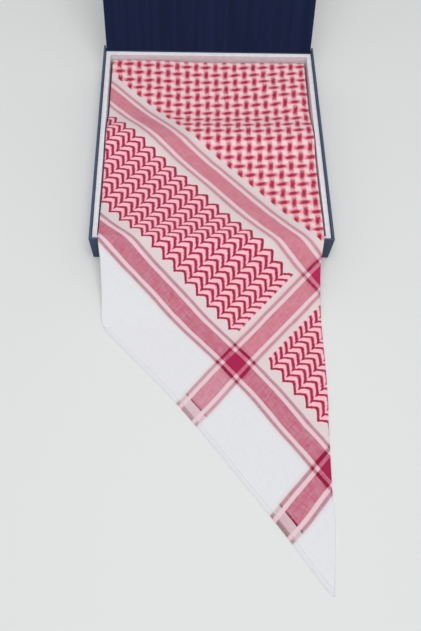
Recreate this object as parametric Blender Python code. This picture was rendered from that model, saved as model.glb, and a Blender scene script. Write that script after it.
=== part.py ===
"""Keffiyeh headscarf laid out of its open presentation box.

Metres, +Z up, +Y towards the lid. The origin is the centre of the tray's underside.
The square scarf is folded on its diagonal, turned under again to the tray's width and
packed to and fro in the tray. Its last stretch climbs over the front wall and lies on
the table, narrowing along the hem to the scarf's corner.
"""
import bmesh
import bpy
import numpy as np
from mathutils import Matrix, Vector

# Box
TRAY_WIDTH = 0.300
TRAY_DEPTH = 0.324
SIDE_HEIGHT = 0.0434
BOARD = 0.0025          # wrapped board of the floor and walls
BACK_BOARD = 0.0050     # the back wall is doubled where the lid is hung
BACK_HEIGHT = 0.0392
LINER = 0.0062
LINER_HEIGHT = 0.0374
LID_BOARD = 0.0024
LID_SIDE_GAP = 0.0012   # between the lid's sides and the side walls
LID_OPEN_DEG = 118      # from closed to the open rest pose
HINGE_HEIGHT = 0.0397
EDGE_RADIUS = 0.0005    # wrapped paper rounds every board edge
GAP = 0.0003            # between pieces that touch
FRONT = -TRAY_DEPTH / 2
BACK = TRAY_DEPTH / 2

# Cloth
CLOTH = 0.0012
LAYER = CLOTH + GAP
COLUMNS = 12            # mesh columns across the strip

# Lowest surface of the two visible layers, from the back of the tray to the table.
STRIP_PROFILE = (
    # forward: distance behind the front wall's outer face, height
    (0.3092, 0.0080),
    (0.3092, 0.0190),
    (0.3082, 0.0250),
    (0.3045, 0.0282),
    (0.2940, 0.0283),
    (0.2780, 0.0272),
    (0.2560, 0.0261),
    (0.2400, 0.0253),
    (0.2280, 0.0248),
    (0.2150, 0.0248),
    (0.2080, 0.0256),
    (0.2005, 0.0272),
    (0.1940, 0.0294),
    (0.1875, 0.0318),
    (0.1810, 0.0338),
    (0.1740, 0.0354),
    (0.1665, 0.0364),   # soft ridge across the strip
    (0.1600, 0.0364),
    (0.1530, 0.0348),
    (0.1460, 0.0331),
    (0.1320, 0.0312),
    (0.1160, 0.0308),
    (0.0800, 0.0322),
    (0.0580, 0.0342),
    (0.0400, 0.0366),
    (0.0250, 0.0392),
    (0.0140, 0.0415),
    (0.0080, 0.0429),
    (0.0036, 0.0438),
    (-0.0004, 0.0441),   # over the front wall
    (-0.0045, 0.0434),
    (-0.0095, 0.0413),
    (-0.0155, 0.0379),
    (-0.0235, 0.0326),
    (-0.0330, 0.0259),
    (-0.0440, 0.0187),
    (-0.0560, 0.0119),
    (-0.0680, 0.0066),
    (-0.0800, 0.0029),
    (-0.0910, 0.0008),
    (-0.1010, 0.0000),
)
PROFILE_ROWS = 72       # mesh rows along the profile
TAIL_ROWS = 18          # mesh rows from there to the corner

# The strip's two folded edges, and its hem on the table between them.
RIGHT_FOLD = (
    # out from the front wall, across
    (-0.310, 0.1375),
    (-0.200, 0.1390),
    (-0.120, 0.1390),
    (-0.030, 0.1380),
    (0.000, 0.1360),
    (0.015, 0.1335),
    (0.030, 0.1320),
    (0.075, 0.1325),
    (0.155, 0.1325),
    (0.195, 0.1315),
    (0.220, 0.1295),
    (0.295, 0.1265),
    (0.325, 0.1270),
    (0.370, 0.1225),
    (0.396, 0.1195),
)
LEFT_FOLD = (
    # out from the front wall, across
    (-0.310, -0.1380),
    (-0.120, -0.1390),
    (-0.030, -0.1385),
    (0.000, -0.1380),
    (0.010, -0.1370),
    (0.022, -0.1355),
    (0.065, -0.1345),
    (0.085, -0.1345),
    (0.095, -0.1330),
    (0.101, -0.1285),
)
HEM_START = Vector((-0.1285, -0.1010))
HEM_END = Vector((0.1186, -0.3962))
HEM_BOW = (
    # along the hem, inward from a straight line
    (0.000, 0.0000),
    (0.060, 0.0042),
    (0.120, 0.0080),
    (0.180, 0.0084),
    (0.240, 0.0065),
    (0.300, 0.0054),
    (0.345, 0.0025),
    (0.385, 0.0000),
)
UNDER_HEM_SHIFT = 0.0018   # the lower layer's hem peeps out past the upper one
CORNER_WIDTH = 0.002       # blunt end of the scarf's corner

# Turned-under edge along the left fold
FLAP_AT_RIM = 0.070     # its width at the front wall
FLAP_BACK = 0.0125      # it is one with the packed layers behind this
FLAP_END = 0.0880       # its last row before the hem
FLAP_CLEARANCE = 0.0015
FLAP_SLOPE = 0.0125     # lengthwise, the layers above come down over this much
FLAP_SIDE_SLOPE = (0.0240, 0.0500)   # and sideways from the first to the second

# Packed layers under the strip
PACK_FRONT = 0.0108
PACK_BACK = 0.3070
PACK_HALF_WIDTH = 0.1385
PACK_TOP = 0.0294        # the ridge above is hollow
PACK_GAP = 0.0008
PACK_CORNER = 0.012
PACK_SHOULDER = 0.0030
PACK_BUNDLES = 5
PACK_BULGE = 0.0012
BUNDLE_RINGS = 3
CORNER_STATIONS = 4
PACK_STATIONS = 26


def finish(name, color, roughness, sheen=0.0):
    """A plain material."""
    made = bpy.data.materials.new(name)
    made.use_nodes = True
    shader = made.node_tree.nodes["Principled BSDF"]
    shader.inputs["Base Color"].default_value = (*color, 1)
    shader.inputs["Roughness"].default_value = roughness
    shader.inputs["Sheen Weight"].default_value = sheen
    made.diffuse_color = (*color, 1)
    return made


def object_from(bm, name, material):
    """An object made from a closed bmesh."""
    bmesh.ops.recalc_face_normals(bm, faces=bm.faces)
    mesh = bpy.data.meshes.new(name)
    bm.to_mesh(mesh)
    bm.free()
    mesh.materials.append(material)
    made = bpy.data.objects.new(name, mesh)
    bpy.context.collection.objects.link(made)
    return made


def box_object(name, low, high, material, origin=(0, 0, 0)):
    """A block between two corners, with its object at origin."""
    low, high, origin = Vector(low), Vector(high), Vector(origin)
    place = Matrix.Translation((high + low) / 2 - origin) @ Matrix.Diagonal((*(high - low), 1))
    bm = bmesh.new()
    bmesh.ops.create_cube(bm, size=1, matrix=place)
    made = object_from(bm, name, material)
    made.location = origin
    return made


def cut(target, cutter):
    """Takes the cutter's shape out of the target."""
    cutter.hide_render = True
    cutter.display_type = "WIRE"
    modifier = target.modifiers.new(cutter.name, "BOOLEAN")
    modifier.operation = "DIFFERENCE"
    modifier.object = cutter


def soften(target):
    """Rounds the board's edges as its paper does."""
    modifier = target.modifiers.new("soft edges", "BEVEL")
    modifier.width = EDGE_RADIUS
    modifier.segments = 2
    modifier.limit_method = "ANGLE"
    target.data.shade_smooth()
    target.data.set_sharp_from_angle(angle=0.6)


def tray(navy):
    """Floor, full-height front and sides, and a lower, doubled back wall."""
    half = TRAY_WIDTH / 2
    inner = half - BOARD
    made = box_object("tray", (-half, FRONT, 0), (half, BACK, SIDE_HEIGHT), navy)
    hollow_low = (-inner, FRONT + BOARD, BOARD)
    hollow_high = (inner, BACK - BACK_BOARD, SIDE_HEIGHT + BOARD)
    cut(made, box_object("tray hollow", hollow_low, hollow_high, navy))
    notch_low = (-inner, BACK - 2 * BACK_BOARD, BACK_HEIGHT)
    notch_high = (inner, BACK + BOARD, SIDE_HEIGHT + BOARD)
    cut(made, box_object("back notch", notch_low, notch_high, navy))
    soften(made)


def liner(white):
    """Inner frame of four thick walls standing on the tray's floor."""
    half = TRAY_WIDTH / 2 - BOARD - GAP
    front = FRONT + BOARD + GAP
    back = BACK - BACK_BOARD - GAP
    made = box_object("liner", (-half, front, BOARD + GAP), (half, back, LINER_HEIGHT), white)
    hollow_low = (-half + LINER, front + LINER, 0)
    hollow_high = (half - LINER, back - LINER, SIDE_HEIGHT)
    cut(made, box_object("liner hollow", hollow_low, hollow_high, white))
    soften(made)


def lid(navy):
    """Flat board, drawn closed on the liner and then opened about its hinge line."""
    half = TRAY_WIDTH / 2 - BOARD - LID_SIDE_GAP
    hinge = Vector((0, BACK - BACK_BOARD + GAP, HINGE_HEIGHT))
    low = Vector((-half, FRONT + BOARD + GAP, LINER_HEIGHT + GAP))
    high = Vector((half, hinge.y - GAP, low.z + LID_BOARD))
    made = box_object("lid", low, high, navy, hinge)
    made.rotation_euler = (-np.radians(LID_OPEN_DEG), 0, 0)
    soften(made)


def through(table, count):
    """Points at even steps along a smooth curve through a table's rows."""
    rows = np.array(table)
    padded = np.vstack((2 * rows[0] - rows[1], rows, 2 * rows[-1] - rows[-2]))
    points = []
    for place in np.linspace(0, len(rows) - 1, count):
        start = min(int(place), len(rows) - 2)
        t = place - start
        a, b, c, d = padded[start : start + 4]
        bend = (2 * a - 5 * b + 4 * c - d) * t**2 + (3 * (b - c) + d - a) * t**3
        points.append(b + ((c - a) * t + bend) / 2)
    return np.array(points)


def smooth(value, low, high):
    """0 below low, 1 above high, and an easy slope between."""
    t = np.clip((value - low) / (high - low), 0, 1)
    return t * t * (3 - 2 * t)


def hem_points(shift=0.0):
    """The hem in plan from the left fold to the corner, moved outwards by shift."""
    along = (HEM_END - HEM_START).normalized()
    inward = Vector((-along.y, along.x))
    points = []
    for distance, bow in through(HEM_BOW, 4 * len(HEM_BOW)):
        points.append(HEM_START + along * distance + inward * (bow - shift))
    return np.array(points)


def strip_edges(forward, hem):
    """Left and right edge of the strip at a distance from the front wall's face."""
    out = -forward
    right = np.interp(out, *np.array(RIGHT_FOLD).T)
    left = np.interp(out, *np.array(LEFT_FOLD).T)
    hem_out = -hem[:, 1]
    if out > hem_out[0]:
        left = np.interp(out, hem_out, hem[:, 0])
    return min(left, right - CORNER_WIDTH), right


def flap_width(forward):
    """Width of the turned-under edge: it tapers to nothing at the hem."""
    return FLAP_AT_RIM * np.clip(1 - forward / HEM_START.y, 0, 1)


def flap_rise(across, forward, left):
    """Lift of the strip where the turned-under edge lies below it."""
    width = flap_width(forward)
    inside = 1 - smooth(across - left - width, *FLAP_SIDE_SLOPE)
    in_tray = 1 - smooth(forward, FLAP_BACK + FLAP_CLEARANCE, FLAP_BACK + 2 * FLAP_SLOPE)
    near_hem = 1 - smooth(-forward, FLAP_END + FLAP_CLEARANCE, FLAP_END + FLAP_SLOPE)
    return LAYER * inside * in_tray * near_hem


def strip_stations():
    """Rows of the strip as (forward, height), and their normals, out to the corner."""
    rows = through(STRIP_PROFILE, PROFILE_ROWS)
    tail = np.linspace(rows[-1, 0], HEM_END.y + GAP, TAIL_ROWS + 1)[1:]
    rows = np.vstack((rows, np.stack((tail, np.zeros(TAIL_ROWS)), axis=1)))
    rows[:, 1] = np.maximum(rows[:, 1], 0)
    tangents = np.gradient(rows, axis=0)
    tangents /= np.linalg.norm(tangents, axis=1)[:, None]
    normals = np.stack((tangents[:, 1], -tangents[:, 0]), axis=1)
    return rows, normals


def cloth_wall(name, material, stations, edges, lift, rise=flap_rise):
    """A wall of cloth between two grids of points, closed round its edge."""
    bm = bmesh.new()
    lower, upper = [], []
    for row, normal, (left, right) in zip(*stations, edges):
        for grid, height in ((lower, lift), (upper, lift + CLOTH)):
            line = []
            for across in np.linspace(left, right, COLUMNS + 1):
                forward, up = row + normal * (height + rise(across, row[0], left))
                line.append(bm.verts.new((across, FRONT + forward, up)))
            grid.append(line)
    last = len(lower) - 1
    for grid in (lower, upper):
        for near, far in zip(grid, grid[1:]):
            for j in range(COLUMNS):
                bm.faces.new((near[j], near[j + 1], far[j + 1], far[j]))
    rim = [(0, j) for j in range(COLUMNS)]
    rim += [(i, COLUMNS) for i in range(last)]
    rim += [(last, j) for j in range(COLUMNS, 0, -1)]
    rim += [(i, 0) for i in range(last, 0, -1)]
    for (i, j), (k, m) in zip(rim, rim[1:] + rim[:1]):
        bm.faces.new((lower[i][j], lower[k][m], upper[k][m], upper[i][j]))
    made = object_from(bm, name, material)
    made.data.shade_smooth()
    made.data.set_sharp_from_angle(angle=0.9)


def upper_layer(cotton):
    """The layer that shows: tray, front wall, table and corner."""
    stations = strip_stations()
    hem = hem_points()
    edges = [strip_edges(forward, hem) for forward, _ in stations[0]]
    cloth_wall("scarf_upper_layer", cotton, stations, edges, LAYER)


def lower_layer(cotton):
    """The other half of the diagonal fold, with its hem just past the upper one."""
    stations = strip_stations()
    hem = hem_points(UNDER_HEM_SHIFT)
    edges = [strip_edges(forward, hem) for forward, _ in stations[0]]
    cloth_wall("scarf_lower_layer", cotton, stations, edges, 0)


def turned_edge(cotton):
    """Cloth turned under at the left fold, from the front wall down to the hem."""
    rows, normals = strip_stations()
    kept = (rows[:, 0] > -FLAP_END) & (rows[:, 0] < FLAP_BACK)
    stations = rows[kept], normals[kept]
    hem = hem_points()
    edges = []
    for forward, _ in stations[0]:
        left, _ = strip_edges(forward, hem)
        edges.append((left, left + flap_width(forward)))
    cloth_wall("scarf_turned_edge", cotton, stations, edges, 0, rise=lambda *_: 0)


def packed_outline():
    """Stations along the packed layers: forward and half-width."""
    corner = PACK_CORNER * (1 - np.cos(np.linspace(0, np.pi / 2, CORNER_STATIONS + 1)[:-1]))
    middle = np.linspace(PACK_FRONT + PACK_CORNER, PACK_BACK - PACK_CORNER, PACK_STATIONS)
    forward = np.concatenate((PACK_FRONT + corner, middle, PACK_BACK - corner[::-1]))
    from_end = np.minimum(forward - PACK_FRONT, PACK_BACK - forward)
    short = np.clip(PACK_CORNER - from_end, 0, PACK_CORNER)
    half = PACK_HALF_WIDTH - PACK_CORNER + np.sqrt(PACK_CORNER**2 - short**2)
    return forward, half


def packed_top(forward):
    """The packed layers' top, just under the strip that lies on them."""
    profile = through(STRIP_PROFILE, PROFILE_ROWS)[::-1]
    return np.minimum(np.interp(forward, *profile.T) - PACK_GAP, PACK_TOP)


def packed_layers(cotton):
    """The hidden folds, to and fro in the tray: one solid whose sides show the bundles."""
    forward, half = packed_outline()
    centre = (PACK_FRONT + PACK_BACK) / 2
    reach = (PACK_BACK - PACK_FRONT) / 2
    bottom = BOARD + GAP
    levels = PACK_BUNDLES * BUNDLE_RINGS
    bm = bmesh.new()
    rings = []
    for level in range(levels + 1):
        share = level / levels
        groove = PACK_BULGE * (1 - abs(np.sin(np.pi * PACK_BUNDLES * share)))
        shoulder = PACK_SHOULDER * smooth(share, 1 - 1 / PACK_BUNDLES, 1)
        inset = groove + shoulder
        along = centre + (forward - centre) * (1 - inset / reach)
        height = bottom + (packed_top(along) - bottom) * share
        left = [bm.verts.new(point) for point in zip(inset - half, FRONT + along, height)]
        right = [bm.verts.new(point) for point in zip(half - inset, FRONT + along, height)]
        rings.append((left, right))
    for (low_left, low_right), (high_left, high_right) in zip(rings, rings[1:]):
        low_ring = low_left + low_right[::-1]
        high_ring = high_left + high_right[::-1]
        for i in range(len(low_ring)):
            bm.faces.new((low_ring[i - 1], low_ring[i], high_ring[i], high_ring[i - 1]))
    for left, right in (rings[0], rings[-1]):
        for i in range(len(left) - 1):
            bm.faces.new((left[i], left[i + 1], right[i + 1], right[i]))
    made = object_from(bm, "scarf_packed_layers", cotton)
    made.data.shade_smooth()
    made.data.set_sharp_from_angle(angle=1.2)


for old in list(bpy.data.objects):
    bpy.data.objects.remove(old, do_unlink=True)
navy_paper = finish("navy wrapped board", (0.012, 0.018, 0.055), 0.55)
white_card = finish("white liner card", (0.80, 0.80, 0.84), 0.6)
red_cotton = finish("patterned cotton", (0.72, 0.30, 0.36), 0.9, 0.3)
tray(navy_paper)
liner(white_card)
lid(navy_paper)
packed_layers(red_cotton)
turned_edge(red_cotton)
lower_layer(red_cotton)
upper_layer(red_cotton)
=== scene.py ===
import math

import bmesh
import bpy
import numpy as np
from mathutils import Matrix, Vector, noise


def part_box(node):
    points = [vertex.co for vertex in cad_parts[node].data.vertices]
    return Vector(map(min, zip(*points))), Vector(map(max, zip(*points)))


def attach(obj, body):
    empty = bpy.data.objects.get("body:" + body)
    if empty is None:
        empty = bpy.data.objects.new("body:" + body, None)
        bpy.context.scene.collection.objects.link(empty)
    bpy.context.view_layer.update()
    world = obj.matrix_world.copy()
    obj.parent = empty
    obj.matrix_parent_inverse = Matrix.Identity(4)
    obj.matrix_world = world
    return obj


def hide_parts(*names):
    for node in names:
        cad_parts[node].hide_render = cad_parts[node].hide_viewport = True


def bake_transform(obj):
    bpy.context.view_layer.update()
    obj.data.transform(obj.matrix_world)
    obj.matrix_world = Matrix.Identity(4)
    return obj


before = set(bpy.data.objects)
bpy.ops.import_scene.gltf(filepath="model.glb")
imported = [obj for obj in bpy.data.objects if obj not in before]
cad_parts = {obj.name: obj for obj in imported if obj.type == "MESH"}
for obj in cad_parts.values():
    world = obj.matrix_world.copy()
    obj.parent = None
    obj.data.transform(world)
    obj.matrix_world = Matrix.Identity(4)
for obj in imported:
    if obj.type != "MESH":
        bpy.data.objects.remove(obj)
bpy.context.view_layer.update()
trayLow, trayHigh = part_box("tray")
front, back = trayLow[1], trayHigh[1]
print("frame loaded")


def linear(code):  # sRGB hex to linear rgba
    parts = [int(code[i : i + 2], 16) / 255 for i in (1, 3, 5)]
    return (*[p / 12.92 if p <= 0.04045 else ((p + 0.055) / 1.055) ** 2.4 for p in parts], 1.0)


def addNode(tree, kind, inputs=None, stops=(), **settings):
    # values, sockets or nodes go into the inputs; stops are (place, rgba) on a ramp
    node = tree.nodes.new(kind)
    for name, value in settings.items():
        setattr(node, name, value)
    for key, value in (inputs or {}).items():
        if isinstance(value, bpy.types.Node):
            value = next(output for output in value.outputs if output.enabled)
        if isinstance(value, bpy.types.NodeSocket):
            tree.links.new(value, node.inputs[key])
        else:
            node.inputs[key].default_value = value
    if stops:
        elements = node.color_ramp.elements
        elements.remove(elements[-1])
        elements[0].position, elements[0].color = stops[0]
        for place, colour in stops[1:]:
            elements.new(place).color = colour
    return node


def newMaterial(name, roughness, **sockets):
    made = bpy.data.materials.new(name)
    made.use_nodes = True
    shader = made.node_tree.nodes["Principled BSDF"]
    shader.inputs["Roughness"].default_value = roughness
    for key, value in sockets.items():
        shader.inputs[key.replace("_", " ")].default_value = value
    return made, made.node_tree, shader


# camera
view = {
    "place": (-0.027, -0.5583, 0.67935),
    "down": 65.1,  # degrees below the horizon
    "turn": -4.49,  # degrees to the right of the tray's own axis
    "roll": 4.07,
    "lens": 52.37,
    "sensor": 36,
    "nearest": 0.02,
}


def makeCamera():
    data = bpy.data.cameras.new("camera")
    data.lens = view["lens"]
    data.sensor_width = view["sensor"]
    data.sensor_fit = "HORIZONTAL"
    data.clip_start = view["nearest"]
    turned = Matrix.Rotation(math.radians(view["turn"]), 4, "Z")
    tilted = Matrix.Rotation(math.radians(90 - view["down"]), 4, "X")
    rolled = Matrix.Rotation(math.radians(view["roll"]), 4, "Z")
    made = bpy.data.objects.new("camera", data)
    made.matrix_world = Matrix.Translation(view["place"]) @ turned @ tilted @ rolled
    bpy.context.collection.objects.link(made)
    bpy.context.scene.camera = made


makeCamera()
print("camera placed")

# floor and light
studio = {
    "floor": "#e3e4e3",
    "floorHalf": 12,
    "sky": 0.42,
    "skyColour": (0.97, 0.985, 1.0, 1),
    "lamps": [
        # name, place, size, watts
        ("overhead softbox", (0.05, -0.35, 2.0), 1.3, 21.0),
        ("front softbox", (0.0, -1.6, 1.8), 2.4, 9.5),
    ],
    "aim": (0, -0.1, 0),
}


def makeStudio():
    bm = bmesh.new()
    bmesh.ops.create_grid(bm, x_segments=2, y_segments=2, size=studio["floorHalf"])
    mesh = bpy.data.meshes.new("floor")
    bm.to_mesh(mesh)
    bm.free()
    floor = bpy.data.objects.new("floor", mesh)
    bpy.context.collection.objects.link(floor)
    top = newMaterial("pale matt table top", 0.75, Base_Color=linear(studio["floor"]))[0]
    mesh.materials.append(top)
    world = bpy.data.worlds.new("studio")
    world.use_nodes = True
    sky = world.node_tree.nodes["Background"]
    sky.inputs["Color"].default_value = studio["skyColour"]
    sky.inputs["Strength"].default_value = studio["sky"]
    bpy.context.scene.world = world
    bpy.context.scene.view_settings.view_transform = "Standard"
    for name, place, size, watts in studio["lamps"]:
        lamp = bpy.data.lights.new(name, "AREA")
        lamp.size = size
        lamp.energy = watts
        made = bpy.data.objects.new(name, lamp)
        made.location = place
        ray = Vector(studio["aim"]) - Vector(place)
        made.rotation_euler = ray.to_track_quat("-Z", "Y").to_euler()
        bpy.context.collection.objects.link(made)


makeStudio()
print("studio lit")

# the folded strip
# forward: distance behind the front wall's outer face; along: from the corner, over the cloth
strip = {
    "profile": [
        # forward, height of the lowest layer
        (0.3092, 0.0080),
        (0.3092, 0.0190),
        (0.3082, 0.0250),
        (0.3045, 0.0282),
        (0.2940, 0.0283),
        (0.2780, 0.0272),
        (0.2560, 0.0261),
        (0.2400, 0.0253),
        (0.2280, 0.0248),
        (0.2150, 0.0248),
        (0.2080, 0.0256),
        (0.2005, 0.0272),
        (0.1940, 0.0294),
        (0.1875, 0.0318),
        (0.1810, 0.0338),
        (0.1740, 0.0354),
        (0.1665, 0.0364),  # soft ridge
        (0.1600, 0.0364),
        (0.1530, 0.0348),
        (0.1460, 0.0331),
        (0.1320, 0.0312),
        (0.1160, 0.0308),
        (0.0800, 0.0322),
        (0.0580, 0.0342),
        (0.0400, 0.0366),
        (0.0250, 0.0392),
        (0.0140, 0.0415),
        (0.0080, 0.0429),
        (0.0036, 0.0438),
        (-0.0004, 0.0441),  # over the front wall
        (-0.0045, 0.0434),
        (-0.0095, 0.0413),
        (-0.0155, 0.0379),
        (-0.0235, 0.0326),
        (-0.0330, 0.0259),
        (-0.0440, 0.0187),
        (-0.0560, 0.0119),
        (-0.0680, 0.0066),
        (-0.0800, 0.0029),
        (-0.0910, 0.0008),
        (-0.1010, 0.0000),
    ],
    "rightFold": [
        # out from the front wall, across
        (-0.310, 0.1375),
        (-0.200, 0.1390),
        (-0.120, 0.1390),
        (-0.030, 0.1380),
        (0.000, 0.1360),
        (0.015, 0.1335),
        (0.030, 0.1320),
        (0.075, 0.1325),
        (0.155, 0.1325),
        (0.195, 0.1315),
        (0.220, 0.1295),
        (0.295, 0.1265),
        (0.325, 0.1270),
        (0.370, 0.1225),
        (0.396, 0.1195),
    ],
    "leftFold": [
        # out from the front wall, across
        (-0.310, -0.1380),
        (-0.120, -0.1390),
        (-0.030, -0.1385),
        (0.000, -0.1380),
        (0.010, -0.1370),
        (0.022, -0.1355),
        (0.065, -0.1345),
        (0.085, -0.1345),
        (0.095, -0.1330),
        (0.101, -0.1285),
    ],
    "hemStart": (-0.1285, -0.1010),  # across, forward
    "hemEnd": (0.1186, -0.3962),
    "hemBow": [
        # along the hem, inward from a straight line
        (0.000, 0.0000),
        (0.060, 0.0042),
        (0.120, 0.0080),
        (0.180, 0.0084),
        (0.240, 0.0065),
        (0.300, 0.0054),
        (0.345, 0.0025),
        (0.385, 0.0000),
    ],
    "hemLength": 0.385,
    "blunt": 0.0015,  # width of the scarf's corner
    "past": 0.02,  # the rows run on past the corner, and are cut there
    "profileSteps": 900,
    "tailSteps": 200,
    "topLift": 0.0027,
    "pitch": [
        # along, row spacing from there on
        (0.000, 0.0030),
        (0.335, 0.0014),
        (0.475, 0.0030),
        (0.735, 0.0015),
    ],
}

# how the flat cloth is spread over the strip: bias cloth narrows where it is pulled long
spread = [
    # along, along the fold in the flat cloth, slant and bow of a crosswise line for each
    # 100 mm from the fold, and width kept
    (0.00, 0.001, -0.0050, -0.0005, 0.960),
    (0.12, 0.110, -0.0055, 0.0000, 0.945),
    (0.18, 0.166, -0.0050, 0.0000, 0.945),
    (0.24, 0.219, -0.0040, 0.0010, 0.960),
    (0.30, 0.277, -0.0030, 0.0010, 0.965),
    (0.35, 0.327, -0.0035, 0.0005, 0.965),
    (0.40, 0.375, -0.0040, 0.0005, 0.980),
    (0.44, 0.413, -0.0010, 0.0000, 1.000),
    (0.49, 0.456, 0.0015, -0.0010, 1.000),
    (0.55, 0.511, 0.0050, -0.0025, 1.010),
    (0.63, 0.585, 0.0085, -0.0030, 1.005),
    (0.67, 0.623, 0.0085, -0.0025, 1.005),
    (0.71, 0.666, 0.0065, -0.0025, 1.010),
    (0.77, 0.725, 0.0060, -0.0020, 1.020),
]


def through(table, count):  # even steps along a smooth curve through a table's rows
    rows = np.array(table, dtype=float)
    padded = np.vstack((2 * rows[0] - rows[1], rows, 2 * rows[-1] - rows[-2]))
    points = []
    for place in np.linspace(0, len(rows) - 1, count):
        start = min(int(place), len(rows) - 2)
        t = place - start
        a, b, c, d = padded[start : start + 4]
        bend = (2 * a - 5 * b + 4 * c - d) * t**2 + (3 * (b - c) + d - a) * t**3
        points.append(b + ((c - a) * t + bend) / 2)
    return np.array(points)


def ease(value, low, high):  # 0 below low, 1 above high
    t = np.clip((value - low) / (high - low), 0, 1)
    return t * t * (3 - 2 * t)


def layRows():  # rows of the strip from the corner: along, forward, height and normal
    tailStart = strip["profile"][-1][0]
    tailEnd = strip["hemEnd"][1] - strip["past"]
    tail = [(f, 0.0) for f in np.linspace(tailStart, tailEnd, strip["tailSteps"])[1:]]
    curve = np.vstack((through(strip["profile"], strip["profileSteps"]), tail))[::-1]
    curve[:, 1] = np.maximum(curve[:, 1], 0)
    tangent = np.gradient(curve, axis=0)
    tangent /= np.linalg.norm(tangent, axis=1)[:, None]
    normal = np.stack((-tangent[:, 1], tangent[:, 0]), axis=1)
    top = curve + normal * strip["topLift"]
    steps = np.linalg.norm(np.diff(top, axis=0), axis=1)
    length = np.concatenate(((0,), np.cumsum(steps)))
    length -= np.interp(strip["hemEnd"][1], top[:, 0], length)
    places = []
    starts = [row[0] for row in strip["pitch"]] + [length[-1]]
    for (start, pitch), end in zip(strip["pitch"], starts[1:]):
        places.extend(np.linspace(start, end, round((end - start) / pitch), endpoint=False))
    places = np.array(places + [length[-1]])
    columns = [np.interp(places, length, values) for values in (*curve.T, *normal.T)]
    return places, *columns


along, forwards, heights, normalForward, normalUp = layRows()
hemDirection = (Vector(strip["hemEnd"]) - Vector(strip["hemStart"])).normalized()
hemInward = Vector((-hemDirection.y, hemDirection.x))
hemBow = through(strip["hemBow"], 60)


def hemPoint(distance, inward=0.0):  # across and forward of a point beside the hem
    bow = np.interp(distance, *hemBow.T) + inward
    return Vector(strip["hemStart"]) + hemDirection * distance + hemInward * bow


def hemGap(across, forward):  # how far in from the hem a point lies
    offset = Vector((across, forward)) - Vector(strip["hemStart"])
    return offset.dot(hemInward) - np.interp(offset.dot(hemDirection), *hemBow.T)


def stripEdges(forward, shift=0.0):
    right = np.interp(-forward, *np.array(strip["rightFold"]).T)
    left = np.interp(-forward, *np.array(strip["leftFold"]).T)
    hem = np.array([hemPoint(d, -shift) for d in np.linspace(0, strip["hemLength"], 120)])
    if forward < hem[0, 1]:
        left = np.interp(-forward, -hem[:, 1], hem[:, 0])
    return min(left, right - strip["blunt"]), right


spreadFine = through(spread, 200)


def flatPlace(distance, fromFold):  # flat coordinates: across from the diagonal, along it
    places, *columns = spreadFine.T
    foldPlace, slant, bow, width = [np.interp(distance, places, column) for column in columns]
    reach = abs(fromFold) / 0.1  # slant and bow are for each 100 mm
    return fromFold / width, foldPlace + slant * reach + bow * reach**2


cloth = {
    "thickness": 0.0005,
    "lowLift": 0.0004,
    "upperLift": 0.0022,  # the two layers are loose on each other inside the strip
    "hemLift": 0.0010,  # and closer at the hem
    "settle": 0.030,  # how far in from the hem they part
    "foldRadius": 0.00090,
    "lowerColumns": 24,
    "foldColumns": 6,
    "upperColumns": 92,
    "turnColumns": 6,
    "flapColumns": 8,
    "flapAtRim": 0.070,
    "flapRise": 0.0012,
    "lowerHemShift": 0.0016,
    "lowerInset": 0.002,  # the lower layer stops just short of the left fold
    "flapSlope": 0.03,  # how far in the lift over the turned edge dies away
    "flapFull": 0.02,  # width at which the turned edge has its full thickness
    "offFold": (-0.02, 0.03),  # share of the width over which the layers part
    "turnRadius": 0.0014,
    "calmLeft": 0.012,  # no relief this close to the folds
    "calmRight": 0.010,
    "floor": 0.0003,  # lowest middle of the cloth's wall
    "creaseEnds": (-0.2, 0.25, 0.75, 1.2),  # shares of its length where a crease rises and fades
    "waves": [(0.0005, 22, (0, 0, 0)), (0.00025, 60, (3, 1, 7))],  # height, waves to the metre, seed
}

creases = [
    # start and end as (across, forward), width, height: soft folds pressed in while it was packed
    ((0.066, 0.279), (0.128, 0.216), 0.0075, 0.0016),
    ((0.058, 0.262), (0.118, 0.205), 0.0100, -0.0009),
    ((-0.124, 0.214), (-0.040, 0.196), 0.0100, 0.0011),
    ((-0.130, 0.262), (-0.060, 0.240), 0.0140, 0.0009),
    ((-0.100, 0.150), (0.010, 0.136), 0.0120, 0.0006),
    ((-0.060, 0.060), (-0.120, 0.012), 0.0140, 0.0006),
    ((0.030, 0.050), (0.126, 0.010), 0.0120, 0.0006),
    ((-0.040, -0.020), (-0.095, -0.075), 0.0150, 0.0008),
    ((0.020, -0.030), (0.090, -0.095), 0.0170, 0.0007),
    ((-0.020, -0.120), (0.070, -0.215), 0.0190, 0.0006),
    ((0.078, -0.236), (0.112, -0.330), 0.0090, 0.0009),
    ((0.060, -0.232), (0.094, -0.318), 0.0080, -0.0005),
]

swells = [
    # across, forward, half-length across and forward, height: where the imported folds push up
    (0.120, 0.236, 0.042, 0.040, 0.0030),
    (-0.085, 0.250, 0.045, 0.035, 0.0012),
    (0.010, 0.275, 0.060, 0.022, -0.0006),
    (-0.050, 0.095, 0.055, 0.035, 0.0008),
    (0.070, 0.085, 0.050, 0.030, -0.0006),
]


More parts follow.
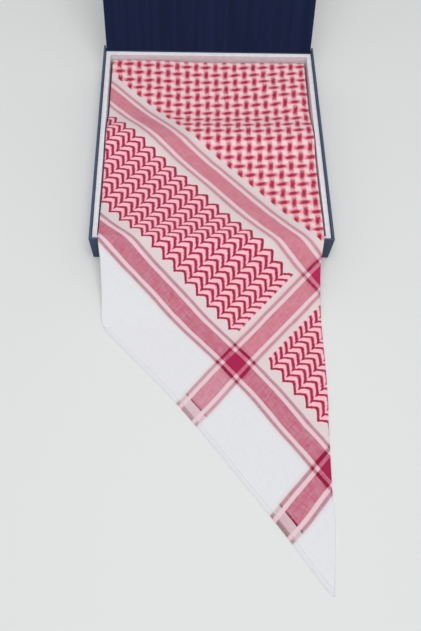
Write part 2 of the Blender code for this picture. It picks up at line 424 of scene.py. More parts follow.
def relief(across, forward):  # gentle swells and pressed creases of the top layer
    spot = Vector((across, forward, 0))
    height = sum(rise * noise.noise(spot * scale + Vector(seed)) for rise, scale, seed in cloth["waves"])
    before, full, fading, after = cloth["creaseEnds"]
    for start, end, width, rise in creases:
        start, end = Vector((*start, 0)), Vector((*end, 0))
        run = end - start
        share = (spot - start).dot(run) / run.length_squared
        away = (spot - start - run * share).length / width
        if before < share < after and away < 3:  # beyond three widths nothing is left of it
            fade = ease(share, before, full) * (1 - ease(share, fading, after))
            height += rise * math.exp(-away * away) * fade
    for x, y, reachX, reachY, rise in swells:
        height += rise * math.exp(-(((across - x) / reachX) ** 2) - ((forward - y) / reachY) ** 2)
    return height


def crossSection(row):  # points of one row: across, lift, distance from the fold over the cloth
    forward = forwards[row]
    left, right = stripEdges(forward)
    width = right - left
    radius = min(cloth["foldRadius"], width / 5)
    inTail = forward < strip["hemStart"][1]
    flap = 0.0 if inTail else cloth["flapAtRim"] * min(1, 1 - forward / strip["hemStart"][1])
    flapShare = ease(flap, 0, cloth["flapFull"])
    low = cloth["lowLift"]
    centre = low + radius
    points = []

    def flapRise(across):  # the strip lies a little higher over the turned edge
        return cloth["flapRise"] * flapShare * (1 - ease(across - left - flap, 0, cloth["flapSlope"]))

    lowLeft = stripEdges(forward, cloth["lowerHemShift"])[0] if inTail else left + cloth["lowerInset"]
    for share in np.linspace(1, 0, cloth["lowerColumns"], endpoint=False):
        across = right - radius + (lowLeft - right + radius) * share
        points.append((across, low + flapRise(across), across - right + radius * (1 - math.pi / 2)))
    for angle in np.linspace(-math.pi / 2, math.pi / 2, cloth["foldColumns"], endpoint=False):
        across = right - radius + radius * math.cos(angle)
        points.append((across, centre + radius * math.sin(angle), radius * angle))
    turn = min(cloth["turnRadius"], flap / 4)
    upperLeft = left + turn
    for share in np.linspace(0, 1, cloth["upperColumns"]):
        across = right - radius + (upperLeft - right + radius) * share
        gap = max(0, hemGap(across, forward))
        loose = cloth["upperLift"] - cloth["hemLift"]
        lift = cloth["hemLift"] + loose * ease(gap, 0, cloth["settle"])
        fromFold = ease(share, *cloth["offFold"])
        lift = lift * fromFold + (centre + radius) * (1 - fromFold)
        calm = ease(across - left, 0, cloth["calmLeft"]) * ease(right - across, 0, cloth["calmRight"])
        lift += flapRise(across) + relief(across, forward) * calm
        points.append((across, lift, right - radius - across + radius * math.pi / 2))
    reached = points[-1][2]
    top = points[-1][1]
    for angle in np.linspace(0, math.pi, cloth["turnColumns"] + 1)[1:]:
        drop = (top - low) * (1 - math.cos(angle)) / 2 * flapShare
        points.append((upperLeft - turn * math.sin(angle), top - drop, reached + turn * angle))
    reached = points[-1][2]
    for share in np.linspace(0, 1, cloth["flapColumns"] + 1)[1:]:
        across = upperLeft + (flap - turn) * share
        points.append((across, points[-1][1] if flapShare < 1 else low, reached + (flap - turn) * share))
    return points


def wrapGrid(bm, sections):
    # a grid bent onto rows of (place, flat place, distance in from the hem), with its own UV map
    rows, columns = len(sections), len(sections[0])
    flat = bm.loops.layers.uv.get("flatCloth") or bm.loops.layers.uv.new("flatCloth")
    hem = bm.verts.layers.float.get("hemGap") or bm.verts.layers.float.new("hemGap")
    made = bmesh.ops.create_grid(bm, x_segments=rows - 1, y_segments=columns - 1, size=0.5)["verts"]
    where = {}
    for vert in made:
        i, j = round((vert.co.x + 0.5) * (rows - 1)), round((vert.co.y + 0.5) * (columns - 1))
        place, where[vert], gap = sections[i][j]
        vert.co = place
        vert[hem] = gap
    for face in {face for vert in made for face in vert.link_faces}:
        for loop in face.loops:
            loop[flat].uv = where[loop.vert]


def clothPiece(name, grids, material):
    bm = bmesh.new()
    for sections in grids:
        wrapGrid(bm, sections)
    bmesh.ops.remove_doubles(bm, verts=bm.verts, dist=0.00001)
    bmesh.ops.dissolve_degenerate(bm, edges=bm.edges, dist=0.00001)
    bmesh.ops.recalc_face_normals(bm, faces=bm.faces)
    mesh = bpy.data.meshes.new(name)
    bm.to_mesh(mesh)
    bm.free()
    mesh.materials.append(material)
    mesh.shade_smooth()
    made = bpy.data.objects.new(name, mesh)
    bpy.context.collection.objects.link(made)
    return made


def stripPlace(row, across, lift):  # a point of a row, lifted off the lowest layer's underside
    forward = front + forwards[row] + normalForward[row] * lift
    return across, forward, max(heights[row] + normalUp[row] * lift, cloth["floor"])


def makeStrip(material):
    sections = []
    for row in range(len(along)):
        line = []
        for across, lift, fromFold in crossSection(row):
            gap = hemGap(across, forwards[row])
            line.append((stripPlace(row, across, lift), flatPlace(along[row], fromFold), gap))
        sections.append(line)
    made = clothPiece("scarf_strip", [sections], material)
    wall = made.modifiers.new("cloth thickness", "SOLIDIFY")
    wall.thickness = cloth["thickness"]
    wall.offset = 0
    return made


hems = {
    "turned": 0.0037,  # width of the hem, turned twice and sewn flat
    "thickness": 0.0013,
    "rows": 170,
    "columns": 14,
    "stitch": 0.0042,  # a slight pucker at each stitch
    "pucker": 0.10,
    "run": (-0.0020, 0.3825),  # along the hem
    "opens": (-0.0030, 0.0010),  # along the hem, where its ends round off
    "closes": (0.377, 0.383),
    "closed": 0.02,  # share of the width left at the ends
    "gap": 0.0002,  # kept from the table and the fold
    "layers": [
        # name, shift out from the upper layer's hem, height of its middle, side of the fold
        ("scarf_upper_hem", 0.0004, 0.0018, 1),
        ("scarf_lower_hem", 0.0020, 0.0008, -1),
    ],
}


def makeHem(name, shift, height, side, material):  # a flattened roll of turned cloth
    sections = []
    half = hems["turned"] / 2
    for distance in np.linspace(*hems["run"], hems["rows"]):
        ends = ease(distance, *hems["opens"]) * (1 - ease(distance, *hems["closes"]))
        closing = max(hems["closed"], ends)
        pucker = 1 + hems["pucker"] * math.cos(2 * math.pi * distance / hems["stitch"])
        line = []
        for angle in np.linspace(0, 2 * math.pi, hems["columns"]):
            inward = half - shift + half * math.cos(angle) * closing
            spot = hemPoint(distance, inward)
            rise = hems["thickness"] / 2 * math.sin(angle) * closing * pucker
            right = stripEdges(spot.y)[1]
            across = min(spot.x, right - hems["gap"])
            place = (across, front + spot.y, max(height + rise, hems["gap"]))
            reach = np.interp(spot.y, forwards, along)
            line.append((place, flatPlace(reach, side * (right - spot.x)), max(inward, 0)))
        sections.append(line)
    return clothPiece(name, [sections], material)


packed = {
    "front": 0.0112,
    "back": 0.3064,
    "halfWidth": 0.1388,
    "shift": 0.0010,  # pushed to the right in the tray
    "bottom": 0.0030,
    "ceiling": 0.0345,
    "clearance": 0.0010,
    "folds": 6,
    "round": 0.0024,
    "rows": 44,
    "columns": 30,
    "offsets": (0.0, 0.0012, 0.0003, 0.0017, 0.0006, 0.0022),  # how unevenly the folds are stacked
    "blunt": 14,  # how soon a fold reaches its full thickness
    "endInset": 0.004,
    "closed": 0.02,  # share of the thickness left at the ends
    "sideCurve": (0.12, 0.75),  # exponents: nearly flat across, round at the sides
    "thickness": 0.49,  # of a layer, each way, so that neighbours stay apart
    "flatPlace": (0.14, 0.3),  # in the middle of the flat cloth
    "flatStep": 0.02,
    "hemGap": 0.2,  # far from any hem
}


def makePacked(material):  # the strip's own folds, to and fro below the piece that shows
    profile = through(strip["profile"], strip["profileSteps"])[::-1]
    grids = []
    for fold in range(packed["folds"]):
        sections = []
        inset = packed["offsets"][fold]
        ends = packed["front"] + inset, packed["back"] - 2 * inset
        for turn in np.linspace(0, math.pi, packed["rows"]):
            forward = (ends[0] + ends[1]) / 2 - (ends[1] - ends[0]) / 2 * math.cos(turn)
            top = min(np.interp(forward, *profile.T) - packed["clearance"], packed["ceiling"])
            layer = (top - packed["bottom"]) / packed["folds"]
            middle = packed["bottom"] + layer * (fold + 0.5)
            end = min(1, math.sin(turn) * packed["blunt"])
            half = packed["halfWidth"] - inset - packed["endInset"] * (1 - end)
            line = []
            for angle in np.linspace(0, 2 * math.pi, packed["columns"]):
                flatness, roundness = [
                    math.copysign(abs(value) ** power, value)
                    for value, power in zip((math.cos(angle), math.sin(angle)), packed["sideCurve"])
                ]
                across = (half - packed["round"] * (1 - abs(roundness))) * flatness
                height = middle + layer * packed["thickness"] * roundness * max(end, packed["closed"])
                place = (half * flatness + packed["shift"], front + forward, height)
                u, v = packed["flatPlace"]
                flat = across + u, forward + v + packed["flatStep"] * fold
                line.append((place, flat, packed["hemGap"]))
            sections.append(line)
        grids.append(sections)
    return clothPiece("scarf_packed_folds", grids, material)


# cotton
weave = {
    "white": "#e4e4e7",
    "field": "#e3d3d3",  # white woven with a little of the dyed yarn
    "centre": "#ebdad7",
    "red": "#c7265f",  # dyed yarn
    "wine": "#84173a",  # the same yarn packed close in the thin stripes
    "border": "#ebcdd4",  # pale stripes beside the wide ones
    "lines": 2.2,  # mm between threads, drawn four times coarser than they are so they show
    "wavePeriod": 0.314,  # of a wave texture at scale 1
    "wander": [(0.04, 1.5), (0.5, 0.7)],  # how close the yarns' waves are, and their reach in mm
    "slub": (0.42, 0.07),  # across and along a thread
    "fieldStart": (98, 104),  # mm in from the hem
    "centreStart": (264, 274),
    "tone": (0.975, 1.02),  # darkest and lightest yarn
    "dyeTaken": (0.85, 1.15),
    "figureGrain": 0.75,  # how close the ragged outlines' waves are
    "slubRelief": 0.45,  # against 1 for the threads
    "dyedRelief": 0.4,
    "relief": 0.00018,  # metres, at full strength
    "reliefStrength": 0.4,
}

borders = {
    "outer": 82.5,  # mm in from the hem to the middle of each border
    "inner": 239.0,
    "stripes": [
        # mm from the middle, dyed yarn that shows, how dark it is packed, pale yarn
        (0.0, 1.00, 0.00, 0.0),
        (7.6, 1.00, 0.00, 0.0),
        (8.7, 1.00, 0.25, 0.0),
        (9.7, 0.06, 0.00, 1.0),
        (13.3, 0.06, 0.00, 1.0),
        (14.3, 0.84, 0.50, 0.4),
        (17.0, 0.80, 0.50, 0.2),
        (18.5, 0.10, 0.10, 0.1),
        (22.5, 0.00, 0.00, 0.0),
    ],
    "reach": 25,  # mm, past the last stripe
    "cover": (0.78, 0.68),  # of the outer and the inner border
    "packing": (0.20, 0.00),
    "ribs": (0.95, 1.05),
    "overlap": -0.60,  # dye that two crossing borders share
    # dye packed deeper where borders cross, raised in part as painted shade for the crossings at the
    # rounded folds
    "crossingDepthAndShade": 0.55,
    "heading": [
        # mm in from the hem, share of the dye that shows, how dark it is packed
        (0.0, 0.72, 0.8),
        (2.2, 0.72, 0.8),
        (2.8, 0.40, 0.1),
        (12.8, 0.40, 0.1),
        (13.4, 1.00, 1.0),
        (14.8, 1.00, 1.0),
        (15.6, 0.78, 0.0),
    ],
    "headingReach": 20,
    "headingFull": 0.78,  # share that leaves the borders as they are
}

chevron = {
    "unit": 13.5 / math.sqrt(2),  # mm between neighbouring rows
    "count": 11,
    "top": 166.2,  # mm in from the hem, over the middle row's top
    "phases": (3.1, 13.3),  # mm to the first foot, and what the main field adds
    "legs": (0.78, 1.20),  # lying and standing strokes are not equally wide
    "legTurn": 1.5,  # mm over which one becomes the other
    "roundness": 3.2,
    "ragged": 4.5,
    "tail": (1.5, 0.5, 2.4),  # mm before a foot where it starts and is full, and its length
    "below": (-3.0, -1.3),  # mm from a stroke's middle, from clear to full
    "above": (2.7, 1.2),
    "margin": 2.6,
    "clear": (23.6, 25.2),  # mm from the middle of a border
    "outerClear": 20,
    "palePink": "#ffc0ca",
    "softPink": "#ee879b",
    "stroke": "#9f2548",
}

dashes = {
    "repeat": 13.5,  # mm between neighbouring dashes
    "origin": (101.0, 545.2),  # one dash's middle
    "kinds": [
        # cells to the first, lean, length and width in mm, taper: lying, then standing
        (-1, 0.20, (6.1, 2.8), 0.5),
        (0, -0.14, (2.9, 5.9), 0.2),
    ],
    "edge": (1.26, 0.74),
    "ragged": 2.6,
    "start": 264.6,  # mm in from the hem
    "floatEdge": (0.33, 0.17),  # of a repeat, from clear to full
    "floatShare": 0.9,
    "dash": "#ad1f46",
    "floatPink": "#f99dad",
}


def yarnPlaces(tree):  # the flat cloth in mm, and the same with yarns that wander a little
    flat = addNode(tree, "ShaderNodeUVMap", uv_map="flatCloth")
    cut = addNode(tree, "ShaderNodeMapping", {"Vector": flat, "Scale": (1000, 1000, 1)})
    places = cut
    for scale, reach in weave["wander"]:
        wander = addNode(tree, "ShaderNodeTexNoise", {"Vector": cut, "Scale": scale, "Detail": 1.5})
        push = {0: wander.outputs["Color"], 1: (0.5, 0.5, 0.5)}
        push = addNode(tree, "ShaderNodeVectorMath", push, operation="SUBTRACT")
        push = addNode(tree, "ShaderNodeVectorMath", {0: push, "Scale": reach}, operation="SCALE")
        places = addNode(tree, "ShaderNodeVectorMath", {0: places, 1: push}, operation="ADD")
    return cut, places


def borderNodes(tree, threads, yarns):
    # one wide stripe, then a pale and a thin one on each side, in both directions
    middle = (borders["outer"] + borders["inner"]) / 2
    half = (borders["inner"] - borders["outer"]) / 2
    reach = borders["reach"]
    stops = [(place / reach, (dyed, packed, pale, 1)) for place, dyed, packed, pale in borders["stripes"]]
    covers, depths, pales = [], [], []
    for place, yarn in zip(threads, yarns):
        side = addNode(tree, "ShaderNodeMath", {0: place, 1: middle}, operation="SUBTRACT")
        away = addNode(tree, "ShaderNodeMath", {0: side}, operation="ABSOLUTE")
        away = addNode(tree, "ShaderNodeMath", {0: away, 1: half}, operation="SUBTRACT")
        away = addNode(tree, "ShaderNodeMath", {0: away}, operation="ABSOLUTE")
        away = addNode(tree, "ShaderNodeMath", {0: away, 1: 1 / reach}, operation="MULTIPLY")
        stripes = addNode(tree, "ShaderNodeValToRGB", {0: away}, stops)
        stripes = addNode(tree, "ShaderNodeSeparateColor", {0: stripes})
        pales.append(stripes.outputs["Blue"])
        which = {"Value": side, "From Min": -40, "From Max": 40}  # the outer or the inner border
        low, high = borders["cover"]
        cover = addNode(tree, "ShaderNodeMapRange", {**which, "To Min": low, "To Max": high})
        cover = addNode(tree, "ShaderNodeMath", {0: stripes.outputs["Red"], 1: cover}, operation="MULTIPLY")
        low, high = borders["ribs"]
        ribs = {"Value": yarn.outputs["Fac"], "To Min": low, "To Max": high}
        ribs = addNode(tree, "ShaderNodeMapRange", ribs)
        covers.append(addNode(tree, "ShaderNodeMath", {0: cover, 1: ribs}, operation="MULTIPLY"))
        low, high = borders["packing"]
        closer = addNode(tree, "ShaderNodeMapRange", {**which, "To Min": low, "To Max": high})
        depth = {0: stripes.outputs["Red"], 1: closer, 2: stripes.outputs["Green"]}
        depths.append(addNode(tree, "ShaderNodeMath", depth, operation="MULTIPLY_ADD"))
    return covers, depths, pales


def headingNodes(tree):  # woven across the borders' ends, at a distance in from the cut edge
    reach = borders["headingReach"]
    stops = [(place / reach, (dyed, packed, 0, 1)) for place, dyed, packed in borders["heading"]]
    hem = addNode(tree, "ShaderNodeAttribute", attribute_name="hemGap")
    hem = addNode(tree, "ShaderNodeMath", {0: hem.outputs["Fac"], 1: 1000}, operation="MULTIPLY")
    ends = addNode(tree, "ShaderNodeMapRange", {"Value": hem, "From Min": 0, "From Max": reach})
    ends = addNode(tree, "ShaderNodeValToRGB", {0: ends}, stops)
    ends = addNode(tree, "ShaderNodeSeparateColor", {0: ends})
    shows = {0: ends.outputs["Red"], 1: 1 / borders["headingFull"]}
    return addNode(tree, "ShaderNodeMath", shows, operation="MULTIPLY"), ends.outputs["Green"]


def chevronNodes(tree, inward, sideways, ragged):  # rounded tops, sharp feet with a short tail
    unit = chevron["unit"]
    inner = borders["inner"]
    mainField = addNode(tree, "ShaderNodeMath", {0: sideways, 1: inner}, operation="GREATER_THAN")
    first, more = chevron["phases"]
    phase = addNode(tree, "ShaderNodeMath", {0: mainField, 1: more, 2: first}, operation="MULTIPLY_ADD")
    zig = addNode(tree, "ShaderNodeMath", {0: sideways, 1: phase}, operation="SUBTRACT")
    leg = addNode(tree, "ShaderNodeMath", {0: zig, 1: unit, 2: -unit}, operation="WRAP")
    turn = {"Value": leg, "From Min": -chevron["legTurn"], "From Max": chevron["legTurn"]}
    turn["To Min"], turn["To Max"] = chevron["legs"]
    leg = addNode(tree, "ShaderNodeMapRange", turn)
    zig = addNode(tree, "ShaderNodeMath", {0: zig, 1: unit}, operation="PINGPONG")
    drop = {0: zig, 1: zig, 2: chevron["roundness"]}
    drop = addNode(tree, "ShaderNodeMath", drop, operation="MULTIPLY_ADD")
    drop = addNode(tree, "ShaderNodeMath", {0: drop, 1: 0.5}, operation="POWER")
    level = addNode(tree, "ShaderNodeMath", {0: inward, 1: drop}, operation="ADD")
    level = addNode(tree, "ShaderNodeMath", {0: level, 1: chevron["top"]}, operation="SUBTRACT")
    line = addNode(tree, "ShaderNodeMath", {0: level, 1: unit / 2, 2: -unit / 2}, operation="WRAP")
    line = addNode(tree, "ShaderNodeMath", {0: line, 1: leg}, operation="MULTIPLY")
    line = {0: ragged, 1: chevron["ragged"], 2: line}
    line = addNode(tree, "ShaderNodeMath", line, operation="MULTIPLY_ADD")
    start, full, length = chevron["tail"]
    foot = {"Value": zig, "From Min": unit - start, "From Max": unit - full, "To Max": length}
    foot = addNode(tree, "ShaderNodeMapRange", foot)
    below = addNode(tree, "ShaderNodeMath", {0: line, 1: foot}, operation="ADD")
    low, high = chevron["below"]
    below = addNode(tree, "ShaderNodeMapRange", {"Value": below, "From Min": low, "From Max": high})
    low, high = chevron["above"]
    above = addNode(tree, "ShaderNodeMapRange", {"Value": line, "From Min": low, "From Max": high})
    stroke = addNode(tree, "ShaderNodeMath", {0: below, 1: above}, operation="MINIMUM")
    shades = [
        (0.0, linear(chevron["palePink"])),
        (0.08, linear(chevron["palePink"])),
        (0.45, linear(chevron["softPink"])),
        (0.92, linear(chevron["stroke"])),
    ]
    colour = addNode(tree, "ShaderNodeValToRGB", {0: stroke}, shades)
    tall = unit * chevron["count"] / 2 - chevron["margin"]
    shown = addNode(tree, "ShaderNodeMath", {0: level, 1: 0.0, 2: tall}, operation="COMPARE")
    clear = addNode(tree, "ShaderNodeMath", {0: sideways, 1: inner}, operation="SUBTRACT")
    clear = addNode(tree, "ShaderNodeMath", {0: clear}, operation="ABSOLUTE")
    low, high = chevron["clear"]
    clear = addNode(tree, "ShaderNodeMapRange", {"Value": clear, "From Min": low, "From Max": high})
    shown = addNode(tree, "ShaderNodeMath", {0: shown, 1: clear}, operation="MULTIPLY")
    outer = borders["outer"] + chevron["outerClear"]
    beyond = addNode(tree, "ShaderNodeMath", {0: sideways, 1: outer}, operation="GREATER_THAN")
    return addNode(tree, "ShaderNodeMath", {0: shown, 1: beyond}, operation="MULTIPLY"), colour


def dashNodes(tree, threads, ragged):  # lying and standing by turns, like a checkerboard
    unit = dashes["repeat"] / math.sqrt(2)
    start = Matrix.Rotation(-math.pi / 4, 3, "Z") @ Vector((*dashes["origin"], 0))
    made = []
    for shift, lean, size, taper in dashes["kinds"]:
        corner = (start.x + shift * unit, start.y + shift * unit, 0)
        cell = addNode(tree, "ShaderNodeVectorMath", {0: threads, 1: corner}, operation="SUBTRACT")
        cell = addNode(tree, "ShaderNodeVectorMath", {0: cell, "Scale": 0.5 / unit}, operation="SCALE")
        cell = addNode(tree, "ShaderNodeVectorMath", {0: cell}, operation="FRACTION")
        cell = addNode(tree, "ShaderNodeVectorMath", {0: cell, 1: (0.5, 0.5, 0)}, operation="SUBTRACT")
        turned = {"Vector": cell, "Rotation": (0, 0, math.pi / 4 + lean), "Scale": (2 * unit,) * 3}
        cell = addNode(tree, "ShaderNodeMapping", turned)
        cell = addNode(tree, "ShaderNodeVectorMath", {0: cell, 1: (*size, 1)}, operation="DIVIDE")
        cell = addNode(tree, "ShaderNodeVectorMath", {0: cell}, operation="ABSOLUTE")
        tips = addNode(tree, "ShaderNodeSeparateXYZ", {0: cell})
        run, side = [tips.outputs[k] for k in (("X", "Y") if shift else ("Y", "X"))]
        ends = addNode(tree, "ShaderNodeMath", {0: run, 1: run}, operation="MULTIPLY")
        wide = addNode(tree, "ShaderNodeMath", {0: ends, 1: taper, 2: side}, operation="MULTIPLY_ADD")
        edge = addNode(tree, "ShaderNodeMath", {0: run, 1: wide}, operation="MAXIMUM")
        edge = {0: ragged, 1: dashes["ragged"], 2: edge}
        edge = addNode(tree, "ShaderNodeMath", edge, operation="MULTIPLY_ADD")
        low, high = dashes["edge"]
        made.append(addNode(tree, "ShaderNodeMapRange", {"Value": edge, "From Min": low, "From Max": high}))
    return addNode(tree, "ShaderNodeMath", {0: made[0], 1: made[1]}, operation="MAXIMUM")


def floatNodes(tree, places):  # pale floats in rows and columns between the dashes
    origin = (*dashes["origin"], 0)
    grid = addNode(tree, "ShaderNodeVectorMath", {0: places, 1: origin}, operation="SUBTRACT")
    grid = {0: grid, "Scale": 1 / dashes["repeat"]}
    grid = addNode(tree, "ShaderNodeVectorMath", grid, operation="SCALE")
    grid = addNode(tree, "ShaderNodeVectorMath", {0: grid, 1: (0.5, 0.5, 0)}, operation="ADD")
    grid = addNode(tree, "ShaderNodeVectorMath", {0: grid}, operation="FRACTION")
    grid = addNode(tree, "ShaderNodeVectorMath", {0: grid, 1: (0.5, 0.5, 0)}, operation="SUBTRACT")
    grid = addNode(tree, "ShaderNodeVectorMath", {0: grid}, operation="ABSOLUTE")
    near = addNode(tree, "ShaderNodeSeparateXYZ", {0: grid})
    near = {0: near.outputs["X"], 1: near.outputs["Y"]}
    near = addNode(tree, "ShaderNodeMath", near, operation="MINIMUM")
    low, high = dashes["floatEdge"]
    return addNode(tree, "ShaderNodeMapRange", {"Value": near, "From Min": low, "From Max": high})


def cottonMaterial():
    # plain-woven cotton with dyed borders and floats: matt, slightly fuzzy, dry to the touch.
    # Crossings of two borders are nearly solid red because both warp and weft are dyed there; they are also
    # darkened, partly as painted shade for the crossings at the rounded fold edges
    surface = {"Sheen_Weight": 0.18, "Sheen_Roughness": 0.5, "Specular_IOR_Level": 0.2}
    made, tree, shader = newMaterial("yarn-dyed woven cotton", 0.9, **surface)
    cut, places = yarnPlaces(tree)
    threads = addNode(tree, "ShaderNodeMapping", {"Vector": places, "Rotation": (0, 0, -math.pi / 4)})
    parts = addNode(tree, "ShaderNodeSeparateXYZ", {0: threads})
    inFromHems = {0: parts.outputs["X"], 1: parts.outputs["Y"]}
    inward = addNode(tree, "ShaderNodeMath", inFromHems, operation="MINIMUM")
    sideways = addNode(tree, "ShaderNodeMath", inFromHems, operation="MAXIMUM")
    yarns = []
    for direction in ("Y", "X"):
        scale = weave["wavePeriod"] / weave["lines"]
        wave = {"Vector": threads, "Scale": scale, "Distortion": 1.6, "Detail": 1.5}
        yarns.append(addNode(tree, "ShaderNodeTexWave", wave, bands_direction=direction))

    # uneven yarn: some threads take the dye and the light a little less
    slubs = []
    for scale in (weave["slub"], weave["slub"][::-1]):
        uneven = addNode(tree, "ShaderNodeMapping", {"Vector": threads, "Scale": (*scale, 1)})
        uneven = addNode(tree, "ShaderNodeTexNoise", {"Vector": uneven, "Scale": 1.0, "Detail": 2})
        slubs.append(uneven.outputs["Fac"])
    slubs = addNode(tree, "ShaderNodeMath", {0: slubs[0], 1: slubs[1]}, operation="ADD")

    # floats end a thread early or late, so the outlines of figures are ragged
    ragged = {"Vector": cut, "Scale": weave["figureGrain"], "Detail": 1.0}
    ragged = addNode(tree, "ShaderNodeTexNoise", ragged)
    ragged = addNode(tree, "ShaderNodeMath", {0: ragged.outputs["Fac"], 1: 0.5}, operation="SUBTRACT")

    # dye of the borders: how much shows and how dark it is packed
    covers, depths, pales = borderNodes(tree, (parts.outputs["X"], parts.outputs["Y"]), yarns)
    heading, headingDepth = headingNodes(tree)
    total = addNode(tree, "ShaderNodeMath", {0: covers[0], 1: covers[1]}, operation="ADD")
    both = addNode(tree, "ShaderNodeMath", {0: covers[0], 1: covers[1]}, operation="MULTIPLY")
    shared = {0: both, 1: borders["overlap"], 2: total}
    total = addNode(tree, "ShaderNodeMath", shared, operation="MULTIPLY_ADD")
    low, high = weave["dyeTaken"]
    taken = {"Value": slubs, "From Min": 0.65, "From Max": 1.35, "To Min": low, "To Max": high}
    taken = addNode(tree, "ShaderNodeMapRange", taken)
    heading = addNode(tree, "ShaderNodeMath", {0: heading, 1: taken}, operation="MULTIPLY")
    total = addNode(tree, "ShaderNodeMath", {0: total, 1: heading}, operation="MULTIPLY", use_clamp=True)
    dark = addNode(tree, "ShaderNodeMath", {0: depths[0], 1: depths[1]}, operation="MAXIMUM")
    # darker at border crossings: denser dye, and in part painted shade
    deeper = {0: both, 1: borders["crossingDepthAndShade"], 2: dark}
    dark = addNode(tree, "ShaderNodeMath", deeper, operation="MULTIPLY_ADD")
    dark = addNode(tree, "ShaderNodeMath", {0: headingDepth, 1: dark}, operation="ADD", use_clamp=True)
    red, wine = linear(weave["red"]), linear(weave["wine"])
    dyed = addNode(tree, "ShaderNodeMix", {0: dark, 6: red, 7: wine}, data_type="RGBA")
    pale = addNode(tree, "ShaderNodeMath", {0: pales[0], 1: pales[1]}, operation="MAXIMUM")

    # figures
    chevrons, chevronColour = chevronNodes(tree, inward, sideways, ragged)
    centre = addNode(tree, "ShaderNodeMath", {0: inward, 1: dashes["start"]}, operation="GREATER_THAN")
    dash = {0: dashNodes(tree, threads, ragged), 1: centre}
    dash = addNode(tree, "ShaderNodeMath", dash, operation="MULTIPLY")
    floats = {0: floatNodes(tree, places), 1: centre}
    floats = addNode(tree, "ShaderNodeMath", floats, operation="MULTIPLY")
    floats = addNode(tree, "ShaderNodeMath", {0: floats, 1: dashes["floatShare"]}, operation="MULTIPLY")
    low, high = weave["fieldStart"]
    inField = addNode(tree, "ShaderNodeMapRange", {"Value": inward, "From Min": low, "From Max": high})
    low, high = weave["centreStart"]
    inCentre = addNode(tree, "ShaderNodeMapRange", {"Value": inward, "From Min": low, "From Max": high})

    # put together, from the white ground up
    colour = linear(weave["white"])
    for share, over in (
        (inField, linear(weave["field"])),
        (inCentre, linear(weave["centre"])),
        (floats, linear(dashes["floatPink"])),
        (chevrons, chevronColour),
        (dash, linear(dashes["dash"])),
        (pale, linear(weave["border"])),
        (total, dyed),
    ):
        colour = addNode(tree, "ShaderNodeMix", {0: share, 6: colour, 7: over}, data_type="RGBA")
    low, high = weave["tone"]
    tone = {"Value": slubs, "From Min": 0.6, "From Max": 1.4, "To Min": low, "To Max": high}
    tone = addNode(tree, "ShaderNodeMapRange", tone)
    toned = addNode(tree, "ShaderNodeVectorMath", {0: colour, "Scale": tone}, operation="SCALE")
    tree.links.new(toned.outputs["Vector"], shader.inputs["Base Color"])

    # threads stand up in relief, dyed ones a little more
    ribs = {0: yarns[0].outputs["Fac"], 1: yarns[1].outputs["Fac"]}
    ribs = addNode(tree, "ShaderNodeMath", ribs, operation="MULTIPLY")
    for uneven, share in ((slubs, weave["slubRelief"]), (total, weave["dyedRelief"])):
        ribs = addNode(tree, "ShaderNodeMath", {0: uneven, 1: share, 2: ribs}, operation="MULTIPLY_ADD")
    bump = {"Height": ribs, "Strength": weave["reliefStrength"], "Distance": weave["relief"]}
    bump = addNode(tree, "ShaderNodeBump", bump)
    tree.links.new(bump.outputs["Normal"], shader.inputs["Normal"])
    return made


cotton = cottonMaterial()
scarf = makeStrip(cotton)
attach(scarf, "box")
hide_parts("scarf_upper_layer", "scarf_lower_layer", "scarf_turned_edge")
for name, shift, height, side in hems["layers"]:
    hem = makeHem(name, shift, height, side, cotton)
    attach(hem, "box")
folds = makePacked(cotton)
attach(folds, "box")
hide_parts("scarf_packed_layers")
print("scarf laid")

# box
box = {
    "paper": "#2f405e",
    # paler paper tone: random cloudy variation, and the painted highlight on the top rims
    "paperPaleAndRimHighlight": "#4a5a74",
    "lining": "#111b38",
    "liningLight": "#182345",
    "card": "#f1f1f3",
    "cardShade": "#e2e3ea",
    "grain": 0.9,  # mm, paper fibres drawn a little coarse so they show
    "rimHighlight": (0.0016, 0.0002),  # below the tray's top, from no painted highlight to full painted highlight on the rim
    "rimHighlightPatches": 9,  # mm, size of the patches in the painted rim highlight, like the three sizes below
    "clouds": 40,
    "streaks": 7,
    "mottle": 6,
    "streakStretch": (1, 0.04, 0.04),
    "cloudShare": 0.22,  # of the paler tone, at most
    "relief": 0.0001,
}


def grainNodes(tree, size, stretch=(1, 1, 1)):  # noise at a size in millimetres
    place = addNode(tree, "ShaderNodeTexCoord").outputs["Object"]
    perMetre = [1000 / size * k for k in stretch]
    scaled = addNode(tree, "ShaderNodeMapping", {"Vector": place, "Scale": perMetre})
    grain = addNode(tree, "ShaderNodeTexNoise", {"Vector": scaled, "Scale": 1.0, "Detail": 3})
    return grain.outputs["Fac"]


def finishPaper(tree, shader, share, first, second, strength):  # two tones and a fibre grain
    tones = {0: share, 6: linear(box[first]), 7: linear(box[second])}
    colour = addNode(tree, "ShaderNodeMix", tones, data_type="RGBA")
    tree.links.new(colour.outputs[2], shader.inputs["Base Color"])
    fibres = {"Height": grainNodes(tree, box["grain"]), "Strength": strength, "Distance": box["relief"]}
    bump = addNode(tree, "ShaderNodeBump", fibres)
    tree.links.new(bump.outputs["Normal"], shader.inputs["Normal"])


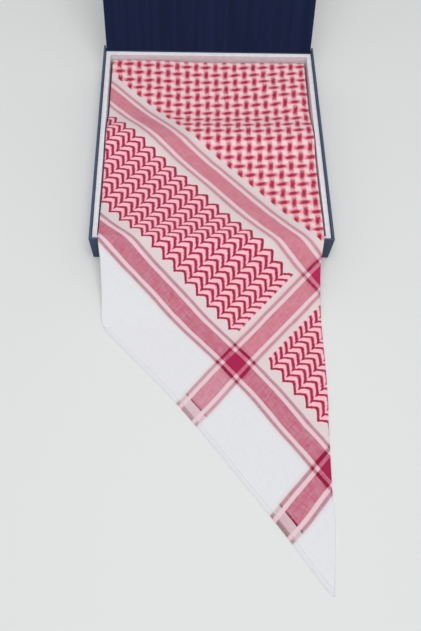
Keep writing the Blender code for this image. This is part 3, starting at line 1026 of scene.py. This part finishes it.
def paperMaterial():
    # printed paper glued over greyboard: even navy, a faint fibre grain, and the top rims painted paler in
    # patches, a painted highlight where light from above falls on them
    made, tree, shader = newMaterial("navy paper over greyboard", 0.55, Specular_IOR_Level=0.4)
    place = addNode(tree, "ShaderNodeTexCoord").outputs["Object"]
    height = addNode(tree, "ShaderNodeSeparateXYZ", {0: place}).outputs["Z"]
    # painted highlight: the paper turns paler just below the tray's top, where the rims face the light from
    # above
    low, high = [trayHigh[2] - depth for depth in box["rimHighlight"]]
    rimHighlight = addNode(tree, "ShaderNodeMapRange", {"Value": height, "From Min": low, "From Max": high})
    patches = grainNodes(tree, box["rimHighlightPatches"])
    rimHighlight = addNode(tree, "ShaderNodeMath", {0: rimHighlight, 1: patches}, operation="MULTIPLY")
    clouds = grainNodes(tree, box["clouds"])
    tone = {"Value": clouds, "From Min": 0.3, "From Max": 0.7, "To Max": box["cloudShare"]}
    tone = addNode(tree, "ShaderNodeMapRange", tone)
    tone = addNode(tree, "ShaderNodeMath", {0: tone, 1: rimHighlight}, operation="ADD")
    finishPaper(tree, shader, tone, "paper", "paperPaleAndRimHighlight", 0.25)
    return made


def liningMaterial():
    # dyed lining paper, darker and flatter, brushed with paste so it dries in faint upright streaks
    made, tree, shader = newMaterial("dark navy lining paper", 0.7, Specular_IOR_Level=0.12)
    streaks = grainNodes(tree, box["streaks"], box["streakStretch"])
    streaks = addNode(tree, "ShaderNodeMapRange", {"Value": streaks, "From Min": 0.3, "From Max": 0.7})
    finishPaper(tree, shader, streaks, "lining", "liningLight", 0.25)
    return made


def cardMaterial():
    # white-lined card: smooth, bright and a little cool, with a faint fibre mottle
    made, tree, shader = newMaterial("white lined card", 0.6, Specular_IOR_Level=0.35)
    mottle = {"Value": grainNodes(tree, box["mottle"]), "From Min": 0.3, "From Max": 0.7}
    mottle = addNode(tree, "ShaderNodeMapRange", mottle)
    finishPaper(tree, shader, mottle, "card", "cardShade", 0.2)
    return made


paper, lining, card = paperMaterial(), liningMaterial(), cardMaterial()
for node, finish in (("tray", paper), ("liner", card), ("lid", lining)):
    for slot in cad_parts[node].material_slots:
        slot.material = finish

hinge = {
    "place": (0, 0.1573, 0.0397),
    "lean": 28.0,  # degrees the open lid leans back
    "lidSide": 0.013,
    "backSide": 0.011,
    "halfWidth": 0.1455,
    "thickness": 0.00025,
    "lidSkin": 0.0006,  # from the hinge line to the paper on the lid's outside
    "wallTop": -0.0003,  # from the hinge line to the paper on the back wall
    "skin": 0.0002,
    "corner": (0.0004, 0.0006),  # where it turns over the wall's edge
    "bend": (0.0012, 0.06),  # behind the hinge line, and share of the lid's side where it starts
    "steps": (8, 40),  # up the lid, and across
    "blendStart": (0.0015, -0.0002),  # back and up from the hinge line
    "blendEnd": (0.0020, 0.0018),
}


def makeHinge(material):  # one strip of paper creased between the back wall and the lid
    y, z = hinge["place"][1:]
    lean = math.radians(hinge["lean"])
    up = Vector((0, math.sin(lean), math.cos(lean)))
    crease = Vector(hinge["place"]) + Vector((0, up.z, -up.y)) * hinge["lidSkin"]
    skin = back + hinge["skin"]
    wallTop = z + hinge["wallTop"]
    inset, drop = hinge["corner"]
    behind, first = hinge["bend"]
    lidSteps, acrossSteps = hinge["steps"]
    line = [Vector((0, skin, wallTop - hinge["backSide"])), Vector((0, skin, wallTop - drop))]
    line += [Vector((0, back - inset, wallTop)), Vector((0, y + behind, wallTop))]
    line += [crease + up * share * hinge["lidSide"] for share in np.linspace(first, 1, lidSteps)]
    bm = bmesh.new()
    bmesh.ops.create_grid(bm, x_segments=len(line) - 1, y_segments=acrossSteps, size=0.5)
    for vert in bm.verts:
        spot = line[round((vert.co.x + 0.5) * (len(line) - 1))]
        vert.co = (vert.co.y * 2 * hinge["halfWidth"], spot.y, spot.z)
    bmesh.ops.recalc_face_normals(bm, faces=bm.faces)
    mesh = bpy.data.meshes.new("hinge_crease")
    bm.to_mesh(mesh)
    bm.free()
    mesh.materials.append(material)
    mesh.shade_smooth()
    made = bpy.data.objects.new("hinge_crease", mesh)
    bpy.context.collection.objects.link(made)
    sheet = made.modifiers.new("paper thickness", "SOLIDIFY")
    sheet.thickness = hinge["thickness"]
    sheet.offset = 0
    return made


crease = makeHinge(paper)
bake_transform(crease)
print("box finished")
